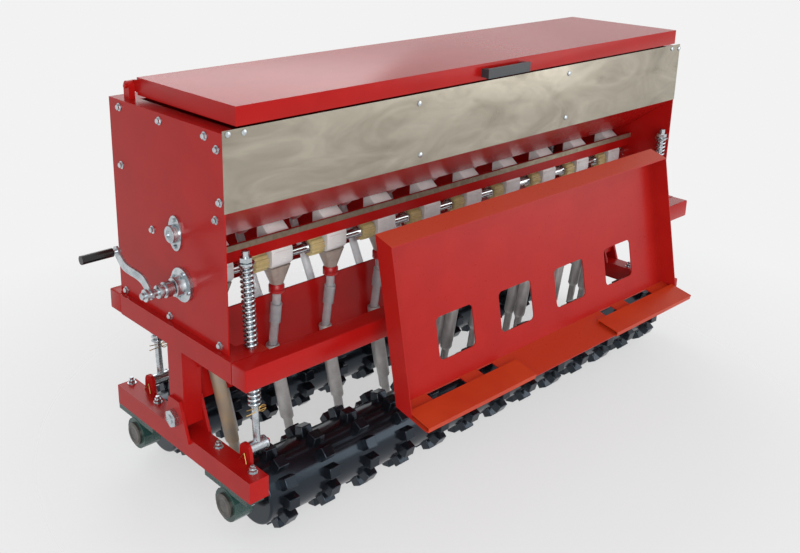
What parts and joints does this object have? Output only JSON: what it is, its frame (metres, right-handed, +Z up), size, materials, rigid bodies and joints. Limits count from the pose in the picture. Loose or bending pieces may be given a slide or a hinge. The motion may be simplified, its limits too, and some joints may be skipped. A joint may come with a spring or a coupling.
{
  "type": "seed drill",
  "caption": "Towed seed drill: long lidded hopper on a square-tube frame, seed meters and tubes, guard panel with step, two press rollers.",
  "frame": {"origin": "on the ground under the middle of the whole machine's box", "axes": "+X along the machine's length to the right, +Y towards the hitch side, +Z up"},
  "size_m": [2.2394, 0.9996, 1.1787],
  "materials": {
    "red_enamel": "gloss",
    "stainless_sheet": "swirled",
    "zinc_plate": "satin",
    "galvanised_strip": "satin",
    "black_roller_paint": "gloss",
    "bearing_enamel": "gloss",
    "white_polypropylene": "satin",
    "cream_nylon": "satin",
    "spout_steel": "satin",
    "dark_plastic": "satin"
  },
  "bodies": {
    "root": {"front_beam": "red_enamel", "rear_beam": "red_enamel", "left_end_beam": "red_enamel", "right_end_beam": "red_enamel", "left_post": "red_enamel", "right_post": "red_enamel", "tube_board": "red_enamel", "left_rocking_beam": "red_enamel", "right_rocking_beam": "red_enamel", "front_left_bearing": "bearing_enamel", "rear_left_bearing": "bearing_enamel", "front_right_bearing": "bearing_enamel", "rear_right_bearing": "bearing_enamel", "front_left_spring_rod": "zinc_plate", "rear_left_spring_rod": "zinc_plate", "front_right_spring_rod": "zinc_plate", "rear_right_spring_rod": "zinc_plate", "left_side_plate": "red_enamel", "right_side_plate": "red_enamel", "hopper_front_strip": "stainless_sheet", "hopper_front_sheet": "red_enamel", "hopper_rear_sheet": "red_enamel", "back_wall": "red_enamel", "front_meter_row": "white_polypropylene", "rear_meter_row": "white_polypropylene", "meter_bar": "red_enamel", "meter_strip": "galvanised_strip", "front_seed_tubes": "spout_steel", "rear_seed_tubes": "spout_steel", "guard_panel": "red_enamel", "left_step_tread": "red_enamel", "right_step_tread": "red_enamel", "left_guard_arm": "red_enamel", "right_guard_arm": "red_enamel", "crank_flange": "zinc_plate", "crank": "zinc_plate", "crank_grip": "dark_plastic", "left_plate_bearing": "zinc_plate", "right_plate_bearing": "zinc_plate", "left_hitch_bracket": "red_enamel", "right_hitch_bracket": "red_enamel", "hitch_mast": "red_enamel"},
    "lid": {"lid": "red_enamel", "lid_handle": "dark_plastic"},
    "front_roller": {"front_roller": "black_roller_paint"},
    "rear_roller": {"rear_roller": "black_roller_paint"},
    "front_meter_shaft": {"front_meter_shaft": "cream_nylon"},
    "rear_meter_shaft": {"rear_meter_shaft": "cream_nylon"},
    "agitator_shaft": {"agitator_shaft": "zinc_plate"}
  },
  "joints": [
    {"name": "lid_hinge", "type": "hinge", "parent": "root", "child": "lid", "pos_m": [0.09035, 0.31779, 1.15369], "axis": [-1, 0, 0], "range_deg": [0, 100]},
    {"name": "front_roller_spin", "type": "hinge", "parent": "root", "child": "front_roller", "pos_m": [0.09035, -0.13221, 0.11769], "axis": [1, 0, 0], "continuous": true},
    {"name": "rear_roller_spin", "type": "hinge", "parent": "root", "child": "rear_roller", "pos_m": [0.09035, 0.32379, 0.11769], "axis": [1, 0, 0], "continuous": true},
    {"name": "front_meter_spin", "type": "hinge", "parent": "root", "child": "front_meter_shaft", "pos_m": [0.09035, 0.04079, 0.68369], "axis": [1, 0, 0], "continuous": true},
    {"name": "rear_meter_spin", "type": "hinge", "parent": "root", "child": "rear_meter_shaft", "pos_m": [0.09035, 0.26779, 0.76569], "axis": [1, 0, 0], "continuous": true},
    {"name": "agitator_spin", "type": "hinge", "parent": "root", "child": "agitator_shaft", "pos_m": [0.09035, 0.06779, 0.81569], "axis": [1, 0, 0], "continuous": true}
  ]
}
